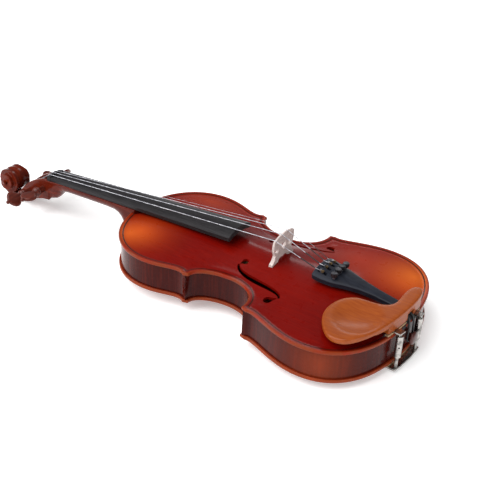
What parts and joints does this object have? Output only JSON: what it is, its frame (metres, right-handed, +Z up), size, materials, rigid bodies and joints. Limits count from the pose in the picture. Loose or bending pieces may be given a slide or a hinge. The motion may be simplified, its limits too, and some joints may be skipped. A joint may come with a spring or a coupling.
{
  "type": "violin",
  "caption": "Full-size violin with carved plates, turning pegs, working fine tuners and a clamped chin rest beside the tailpiece.",
  "frame": {"origin": "middle of the bounding box, at the plane the violin lies on", "axes": "+X from the scroll to the tail along the length, +Y from the bass side to the treble side, +Z up out of the belly; the violin lies on the arch of its back and on its scroll, so the body leans 1.4 degrees"},
  "size_m": [0.5904, 0.211, 0.0945],
  "materials": {
    "belly_varnish": "glossy red-brown varnish over fine spruce grain, amber where it is thin",
    "back_varnish": "glossy red-brown varnish over maple",
    "rib_varnish": "glossy red-brown varnish over maple",
    "inner_wood": "bare pale wood",
    "purfling_wood": "dark inlaid line",
    "neck_varnish": "glossy red-brown varnish over maple",
    "dark_wood": "satin black-brown wood",
    "bridge_wood": "bare pale maple, greyed",
    "string_metal": "wound steel",
    "peg_wood": "satin red-brown wood",
    "tailpiece_black": "satin black with a cool sheen",
    "gut_cord": "black cord",
    "button_wood": "dark brown turned wood",
    "tuner_metal": "grey metal",
    "knob_black": "black knob with a ribbed rim",
    "ball_brass": "dull brass",
    "chin_rest_wood": "satin orange-brown wood with fine grain",
    "cork": "thin cork",
    "nickel": "nickel-plated"
  },
  "bodies": {
    "violin": {"top_plate": "belly_varnish", "back_plate": "back_varnish", "rib_upper_bass": "rib_varnish", "rib_upper_treble": "rib_varnish", "rib_middle_bass": "rib_varnish", "rib_middle_treble": "rib_varnish", "rib_lower_bass": "rib_varnish", "rib_lower_treble": "rib_varnish", "linings": "inner_wood", "corner_blocks": "inner_wood", "neck_block": "inner_wood", "end_block": "inner_wood", "bass_bar": "inner_wood", "sound_post": "inner_wood", "purfling": "purfling_wood", "neck": "neck_varnish", "fingerboard": "dark_wood", "nut": "dark_wood", "saddle": "dark_wood", "bridge": "bridge_wood", "string_g": "string_metal", "string_d": "string_metal", "string_a": "string_metal", "string_e": "string_metal", "tailpiece": "tailpiece_black", "tailgut": "gut_cord", "end_button": "button_wood", "lever_axle": "tuner_metal", "chin_rest": "chin_rest_wood", "chin_rest_cork": "cork", "clamp_foot": "nickel"},
    "peg_g": {"peg_g": "peg_wood", "winding_g": "string_metal"},
    "screw_g": {"screw_g": "tuner_metal"},
    "knob_g": {"knob_g": "knob_black"},
    "lever_g": {"lever_g": "tuner_metal", "ball_end_g": "ball_brass"},
    "peg_d": {"peg_d": "peg_wood", "winding_d": "string_metal"},
    "screw_d": {"screw_d": "tuner_metal"},
    "knob_d": {"knob_d": "knob_black"},
    "lever_d": {"lever_d": "tuner_metal", "ball_end_d": "ball_brass"},
    "peg_a": {"peg_a": "peg_wood", "winding_a": "string_metal"},
    "screw_a": {"screw_a": "tuner_metal"},
    "knob_a": {"knob_a": "knob_black"},
    "lever_a": {"lever_a": "tuner_metal", "ball_end_a": "ball_brass"},
    "peg_e": {"peg_e": "peg_wood", "winding_e": "string_metal"},
    "screw_e": {"screw_e": "tuner_metal"},
    "knob_e": {"knob_e": "knob_black"},
    "lever_e": {"lever_e": "tuner_metal", "ball_end_e": "ball_brass"},
    "barrel_bass": {"barrel_bass": "nickel"},
    "barrel_treble": {"barrel_treble": "nickel"},
    "hook": {"clamp_hook": "nickel", "clamp_hook_cork": "cork"}
  },
  "joints": [
    {"name": "peg_g_turn", "type": "hinge", "parent": "violin", "child": "peg_g", "pos_m": [-0.2114, 0, 0.03511], "axis": [0, -1, 0], "continuous": true},
    {"name": "peg_d_turn", "type": "hinge", "parent": "violin", "child": "peg_d", "pos_m": [-0.23721, 0, 0.02272], "axis": [0, -1, 0], "continuous": true},
    {"name": "peg_a_turn", "type": "hinge", "parent": "violin", "child": "peg_a", "pos_m": [-0.24935, 0, 0.01671], "axis": [0, 1, 0], "continuous": true},
    {"name": "peg_e_turn", "type": "hinge", "parent": "violin", "child": "peg_e", "pos_m": [-0.22402, 0, 0.03041], "axis": [0, 1, 0], "continuous": true},
    {"name": "screw_g_travel", "type": "slide", "parent": "violin", "child": "screw_g", "axis": [-0.0238, 0, -0.9997], "range_m": [-0.0014, 0.0014]},
    {"name": "knob_g_turn", "type": "hinge", "parent": "screw_g", "child": "knob_g", "pos_m": [0.20166, -0.012, 0.07479], "axis": [-0.0238, 0, -0.9997], "range_deg": [-721, 721]},
    {"name": "lever_g_rock", "type": "hinge", "parent": "violin", "child": "lever_g", "pos_m": [0.18944, -0.012, 0.06568], "axis": [0, 1, 0], "range_deg": [-7, 7]},
    {"name": "screw_d_travel", "type": "slide", "parent": "violin", "child": "screw_d", "axis": [-0.0238, 0, -0.9997], "range_m": [-0.0014, 0.0014]},
    {"name": "knob_d_turn", "type": "hinge", "parent": "screw_d", "child": "knob_d", "pos_m": [0.20166, -0.004, 0.07479], "axis": [-0.0238, 0, -0.9997], "range_deg": [-721, 721]},
    {"name": "lever_d_rock", "type": "hinge", "parent": "violin", "child": "lever_d", "pos_m": [0.18944, -0.004, 0.06568], "axis": [0, 1, 0], "range_deg": [-7, 7]},
    {"name": "screw_a_travel", "type": "slide", "parent": "violin", "child": "screw_a", "axis": [-0.0238, 0, -0.9997], "range_m": [-0.0014, 0.0014]},
    {"name": "knob_a_turn", "type": "hinge", "parent": "screw_a", "child": "knob_a", "pos_m": [0.20166, 0.004, 0.07479], "axis": [-0.0238, 0, -0.9997], "range_deg": [-721, 721]},
    {"name": "lever_a_rock", "type": "hinge", "parent": "violin", "child": "lever_a", "pos_m": [0.18944, 0.004, 0.06568], "axis": [0, 1, 0], "range_deg": [-7, 7]},
    {"name": "screw_e_travel", "type": "slide", "parent": "violin", "child": "screw_e", "axis": [-0.0238, 0, -0.9997], "range_m": [-0.0014, 0.0014]},
    {"name": "knob_e_turn", "type": "hinge", "parent": "screw_e", "child": "knob_e", "pos_m": [0.20166, 0.012, 0.07479], "axis": [-0.0238, 0, -0.9997], "range_deg": [-721, 721]},
    {"name": "lever_e_rock", "type": "hinge", "parent": "violin", "child": "lever_e", "pos_m": [0.18944, 0.012, 0.06568], "axis": [0, 1, 0], "range_deg": [-7, 7]},
    {"name": "barrel_bass_turn", "type": "hinge", "parent": "violin", "child": "barrel_bass", "pos_m": [0.28979, -0.028, 0.03268], "axis": [-0.0238, 0, -0.9997], "range_deg": [0, 1261]},
    {"name": "barrel_treble_turn", "type": "hinge", "parent": "violin", "child": "barrel_treble", "pos_m": [0.29114, 0.012, 0.03265], "axis": [-0.0238, 0, -0.9997], "range_deg": [0, 1261]},
    {"name": "hook_travel", "type": "slide", "parent": "violin", "child": "hook", "axis": [-0.0238, 0, -0.9997], "range_m": [0, 0.0035]}
  ],
  "couplings": [
    {"joint": "knob_g_turn", "follows": "screw_g_travel", "rad_per_m": 8976},
    {"joint": "lever_g_rock", "follows": "screw_g_travel", "rad_per_m": 83.333},
    {"joint": "knob_d_turn", "follows": "screw_d_travel", "rad_per_m": 8976},
    {"joint": "lever_d_rock", "follows": "screw_d_travel", "rad_per_m": 83.333},
    {"joint": "knob_a_turn", "follows": "screw_a_travel", "rad_per_m": 8976},
    {"joint": "lever_a_rock", "follows": "screw_a_travel", "rad_per_m": 83.333},
    {"joint": "knob_e_turn", "follows": "screw_e_travel", "rad_per_m": 8976},
    {"joint": "lever_e_rock", "follows": "screw_e_travel", "rad_per_m": 83.333},
    {"joint": "barrel_bass_turn", "follows": "hook_travel", "rad_per_m": 6283.2},
    {"joint": "barrel_treble_turn", "follows": "hook_travel", "rad_per_m": 6283.2}
  ]
}
